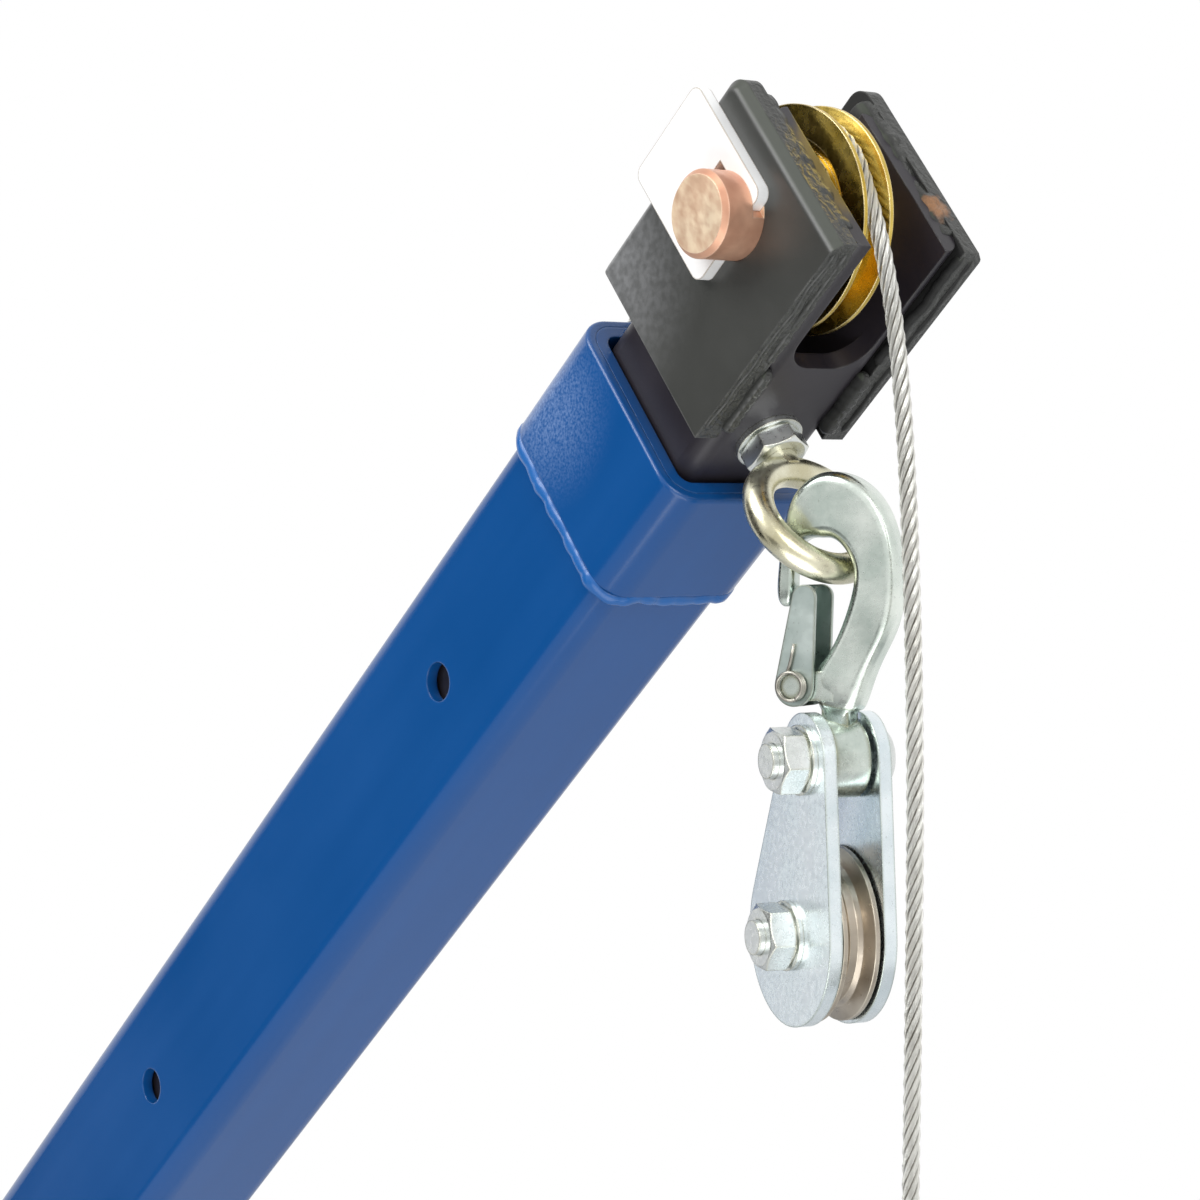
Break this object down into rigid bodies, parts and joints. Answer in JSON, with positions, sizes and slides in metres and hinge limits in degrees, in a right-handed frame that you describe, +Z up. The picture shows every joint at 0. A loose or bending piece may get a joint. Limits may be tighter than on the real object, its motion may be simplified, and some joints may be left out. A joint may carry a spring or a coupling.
{
  "type": "pickup truck crane",
  "caption": "Swivelling pickup bed crane: bolted base, mast, jack-raised boom with sliding extension, hand winch, head sheave, wire rope with hook and a spare hook block.",
  "frame": {"origin": "on the swivel axis, in the plane of the base plate's underside", "axes": "+X forward under the boom, +Y to the left, +Z up"},
  "size_m": [1.0241, 0.302, 1.482],
  "materials": {
    "blue_paint": "glossy powder coat",
    "black_paint": "semi-gloss enamel",
    "bright_zinc": "bright zinc plate",
    "yellow_zinc": "yellow zinc plate",
    "bare_steel": "turned steel",
    "bronze": "plain bearing bronze",
    "wire_rope": "galvanised strand",
    "aluminium": "pressed sleeve",
    "black_grip": "moulded, matt"
  },
  "bodies": {
    "base": {"base_plate": "blue_paint", "base_socket": "blue_paint", "base_gussets": "blue_paint", "swivel_bushes": "bronze", "thrust_washer": "bronze"},
    "mast": {"mast_spindle": "blue_paint", "mast_tube": "blue_paint", "mast_cheeks": "blue_paint", "boom_pivot_pin": "bright_zinc", "jack_mast_bracket": "blue_paint", "jack_lower_pin": "bright_zinc"},
    "boom": {"boom_tube": "blue_paint", "boom_pivot_bush": "bare_steel", "boom_collar": "blue_paint", "collar_weld": "blue_paint", "boom_jack_bracket": "blue_paint", "jack_upper_pin": "bright_zinc", "winch_frame": "black_paint", "winch_bolts": "bright_zinc", "drum_axle": "bright_zinc", "rope_run": "wire_rope"},
    "jack": {"jack_base": "black_paint", "jack_cylinder": "black_paint", "jack_cap": "bright_zinc"},
    "release_knob": {"release_knob": "black_grip"},
    "pump_lever": {"pump_lever": "black_paint", "pump_handle": "bright_zinc"},
    "pump_plunger": {"pump_plunger": "bright_zinc"},
    "ram": {"jack_ram": "bare_steel"},
    "lock_pin": {"lock_pin": "bright_zinc"},
    "drum": {"winch_drum": "bright_zinc", "drum_gear": "bright_zinc", "wound_rope": "wire_rope"},
    "crank": {"pinion_shaft": "bright_zinc", "crank_arm": "bright_zinc"},
    "crank_grip": {"crank_grip": "black_grip"},
    "pawl": {"pawl": "bright_zinc"},
    "extension": {"extension_tube": "black_paint", "head_plate_right": "black_paint", "head_plate_left": "black_paint", "head_welds": "black_paint", "axle_pin": "yellow_zinc", "keeper_plate": "bright_zinc", "sheave_bush": "bronze", "eye_bolt": "bright_zinc", "eye_bolt_nuts": "bright_zinc", "rope_wrap": "wire_rope"},
    "head_sheave": {"head_sheave": "yellow_zinc"},
    "load_line": {"rope_tail": "wire_rope", "rope_ferrule": "aluminium", "rope_thimble": "bright_zinc"},
    "load_hook": {"load_hook": "bright_zinc"},
    "load_hook_latch": {"load_hook_latch": "bright_zinc"},
    "block_hook": {"block_hook": "bright_zinc"},
    "block_hook_latch": {"block_hook_latch": "bright_zinc"},
    "block": {"block_cheek_near": "bright_zinc", "block_cheek_far": "bright_zinc", "block_bolts": "bright_zinc", "block_nuts": "bright_zinc"},
    "block_sheave": {"block_sheave": "bare_steel"}
  },
  "joints": [
    {"name": "mast_slew", "type": "hinge", "parent": "base", "child": "mast", "pos_m": [0, 0, 0.2], "axis": [0, 0, 1], "continuous": true},
    {"name": "boom_luff", "type": "hinge", "parent": "mast", "child": "boom", "pos_m": [0, 0, 0.76], "axis": [0, -1, 0], "range_deg": [-39, 22]},
    {"name": "jack_tilt", "type": "hinge", "parent": "mast", "child": "jack", "pos_m": [0.09, 0, 0.3293], "axis": [0, -1, 0], "range_deg": [-20, 12]},
    {"name": "release_knob_turn", "type": "hinge", "parent": "jack", "child": "release_knob", "pos_m": [0.10999, 0.032, 0.37404], "axis": [0, 1, 0], "range_deg": [0, 180]},
    {"name": "pump_lever_swing", "type": "hinge", "parent": "jack", "child": "pump_lever", "pos_m": [0.18138, 0, 0.43086], "axis": [0, -1, 0], "range_deg": [-20, 25]},
    {"name": "pump_plunger_slide", "type": "slide", "parent": "jack", "child": "pump_plunger", "axis": [0.4079, 0, 0.913], "range_m": [-0.009, 0.011]},
    {"name": "ram_tilt", "type": "hinge", "parent": "boom", "child": "ram", "pos_m": [0.38088, 0, 0.9803], "axis": [0, -1, 0], "range_deg": [-12, 20]},
    {"name": "lock_pin_pull", "type": "slide", "parent": "boom", "child": "lock_pin", "axis": [0, -1, 0], "range_m": [0, 0.09]},
    {"name": "drum_spin", "type": "hinge", "parent": "boom", "child": "drum", "pos_m": [0.0471, 0, 0.93958], "axis": [0, 1, 0], "continuous": true, "deforming": ["rope_run"]},
    {"name": "crank_turn", "type": "hinge", "parent": "boom", "child": "crank", "pos_m": [-0.02398, 0, 0.92807], "axis": [0, 1, 0], "continuous": true},
    {"name": "crank_grip_spin", "type": "hinge", "parent": "crank", "child": "crank_grip", "pos_m": [-0.02398, -0.1095, 0.74807], "axis": [0, 1, 0], "continuous": true},
    {"name": "pawl_lift", "type": "hinge", "parent": "boom", "child": "pawl", "pos_m": [-0.02189, 0.026, 0.97146], "axis": [0, -1, 0], "range_deg": [0, 30]},
    {"name": "boom_extend", "type": "slide", "parent": "boom", "child": "extension", "axis": [0.7749, 0, 0.632], "range_m": [0, 0.472], "deforming": ["rope_run"]},
    {"name": "head_sheave_spin", "type": "hinge", "parent": "extension", "child": "head_sheave", "pos_m": [0.82645, 0, 1.44359], "axis": [0, 1, 0], "continuous": true},
    {"name": "load_line_hang", "type": "hinge", "parent": "extension", "child": "load_line", "pos_m": [0.82645, 0, 1.44359], "axis": [0, -1, 0], "range_deg": [-23, 40], "deforming": ["rope_tail"]},
    {"name": "load_hook_swing", "type": "hinge", "parent": "load_line", "child": "load_hook", "pos_m": [0.86855, -0.0035, 1.08659], "axis": [0, 1, 0], "range_deg": [-35, 35]},
    {"name": "load_latch_swing", "type": "hinge", "parent": "load_hook", "child": "load_hook_latch", "pos_m": [0.86855, -0.0147, 1.04759], "axis": [1, 0, 0], "range_deg": [0, 20], "stiffness_Nm_per_rad": 0.02, "springref_deg": -17.19},
    {"name": "block_hook_hang", "type": "hinge", "parent": "extension", "child": "block_hook", "pos_m": [0.83708, -0.0022, 1.3448], "axis": [0, -1, 0], "range_deg": [-23, 40]},
    {"name": "block_latch_swing", "type": "hinge", "parent": "block_hook", "child": "block_hook_latch", "pos_m": [0.82801, -0.00643, 1.3118], "axis": [-0.4226, 0.9063, 0], "range_deg": [0, 20], "stiffness_Nm_per_rad": 0.02, "springref_deg": -17.19},
    {"name": "block_swing", "type": "hinge", "parent": "block_hook", "child": "block", "pos_m": [0.83708, -0.0022, 1.2912], "axis": [0.2588, 0.9659, 0], "range_deg": [-12, 28]},
    {"name": "block_sheave_spin", "type": "hinge", "parent": "block", "child": "block_sheave", "pos_m": [0.82709, 0.00047, 1.24085], "axis": [0.2588, 0.9659, 0], "continuous": true}
  ],
  "couplings": [
    {"joint": "jack_tilt", "follows": "boom_luff", "ratio": 0.5},
    {"joint": "ram_tilt", "follows": "boom_luff", "ratio": -0.5},
    {"joint": "load_line_hang", "follows": "boom_luff", "ratio": -1},
    {"joint": "block_hook_hang", "follows": "boom_luff", "ratio": -1},
    {"joint": "crank_turn", "follows": "drum_spin", "ratio": -3},
    {"joint": "pump_plunger_slide", "follows": "pump_lever_swing", "m_per_rad": 0.024}
  ]
}
